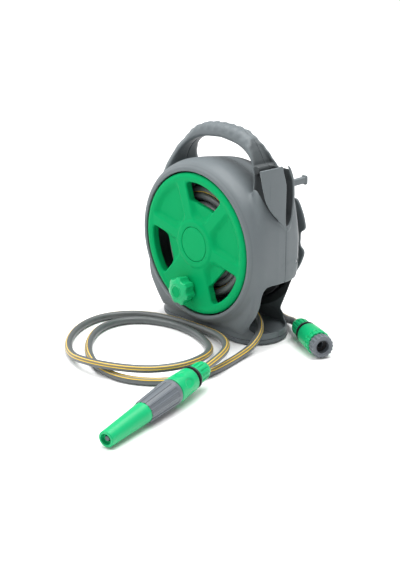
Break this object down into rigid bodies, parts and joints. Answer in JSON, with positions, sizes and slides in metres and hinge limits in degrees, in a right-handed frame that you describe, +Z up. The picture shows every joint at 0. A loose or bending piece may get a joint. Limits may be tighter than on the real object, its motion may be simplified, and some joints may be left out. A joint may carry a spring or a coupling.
{
  "type": "garden hose reel",
  "caption": "Portable enclosed hose reel with carrying handle, winding disc, nozzle holster, wound hose, spray nozzle and tap connector on hoses.",
  "frame": {"origin": "on the floor, on the seam plane between the two housing shells, straight under the reel axis", "axes": "+Z up, the winding disc faces -Y, +X is to the right as seen from the front, where the nozzle holster is"},
  "size_m": [0.3456, 0.4717, 0.302],
  "materials": {
    "shell": "satin moulded polypropylene",
    "shell_dark": "satin moulded polypropylene",
    "green": "semi-gloss moulded ABS",
    "core": "moulded polypropylene",
    "foot_rubber": "moulded rubber",
    "screw_steel": "zinc plated",
    "axle_plastic": "acetal",
    "spring_steel": "spring steel",
    "knob_steel": "zinc plated",
    "seal_rubber": "moulded rubber",
    "hose": "smooth extruded PVC with yellow lines",
    "fitting_green": "semi-gloss moulded ABS",
    "fitting_grey": "semi-gloss moulded ABS"
  },
  "bodies": {
    "root": {"front_housing": "shell", "rear_housing": "shell", "base_plate": "shell_dark", "rubber_feet": "foot_rubber", "housing_screws": "screw_steel", "base_screws": "screw_steel", "axle_bush": "axle_plastic", "inlet_elbow": "axle_plastic", "axle_seal": "seal_rubber", "hose_guard": "shell_dark", "guard_screws": "screw_steel", "hose_peg": "shell_dark", "leader_coil": "hose", "leader_start": "hose", "leader_hose": "hose", "delivery_hose": "hose", "nozzle_hose_nut": "fitting_green", "nozzle_connector_body": "fitting_grey", "nozzle_collet": "fitting_grey", "tap_hose_nut": "fitting_green", "tap_connector_body": "fitting_grey", "tap_collet": "fitting_grey"},
    "reel": {"winding_disc": "green", "hub_cap": "green", "drum_core": "core", "rear_flange": "core", "drum_screws": "screw_steel", "axle": "axle_plastic", "axle_clip": "spring_steel", "hose_pack": "hose", "knob_pin": "knob_steel"},
    "knob": {"winding_knob": "green", "knob_cap": "green"},
    "nozzle_collar": {"nozzle_release_collar": "fitting_green"},
    "tap_collar": {"tap_release_collar": "fitting_green"},
    "nozzle": {"nozzle_sleeve": "fitting_grey", "nozzle_pin": "fitting_grey", "nozzle_mate_seal": "seal_rubber"},
    "spray_seal": {"spray_seal": "seal_rubber"},
    "spray_barrel": {"spray_barrel": "fitting_green"},
    "tap_adaptor": {"tap_adaptor": "fitting_grey", "tap_mate_seal": "seal_rubber", "tap_washer": "seal_rubber"}
  },
  "joints": [
    {"name": "reel_spin", "type": "hinge", "parent": "root", "child": "reel", "pos_m": [0, 0, 0.135], "axis": [0, 1, 0], "continuous": true},
    {"name": "knob_spin", "type": "hinge", "parent": "reel", "child": "knob", "pos_m": [-0.01518, -0.0615, 0.06359], "axis": [0, 1, 0], "continuous": true},
    {"name": "nozzle_swivel", "type": "hinge", "parent": "root", "child": "nozzle", "pos_m": [0.151, -0.182, 0.026], "axis": [0.2394, -0.9689, -0.0629], "continuous": true},
    {"name": "spray_travel", "type": "slide", "parent": "nozzle", "child": "spray_seal", "axis": [0.2394, -0.9689, -0.0629], "range_m": [0, 0.006]},
    {"name": "spray_twist", "type": "hinge", "parent": "spray_seal", "child": "spray_barrel", "pos_m": [0.151, -0.182, 0.026], "axis": [0.2394, -0.9689, -0.0629], "range_deg": [0, 540]},
    {"name": "nozzle_collar_slide", "type": "slide", "parent": "root", "child": "nozzle_collar", "axis": [-0.2394, 0.9689, 0.0629], "range_m": [0, 0.0035], "stiffness_N_per_m": 1500, "springref_m": -0.001},
    {"name": "tap_collar_slide", "type": "slide", "parent": "root", "child": "tap_collar", "axis": [-0.913, 0.408, 0], "range_m": [0, 0.0035], "stiffness_N_per_m": 1500, "springref_m": -0.001},
    {"name": "tap_adaptor_spin", "type": "hinge", "parent": "root", "child": "tap_adaptor", "pos_m": [0.1157, 0.0378, 0.018], "axis": [0.913, -0.408, 0], "continuous": true}
  ],
  "couplings": [
    {"joint": "spray_travel", "follows": "spray_twist", "m_per_rad": 0.00063662}
  ]
}
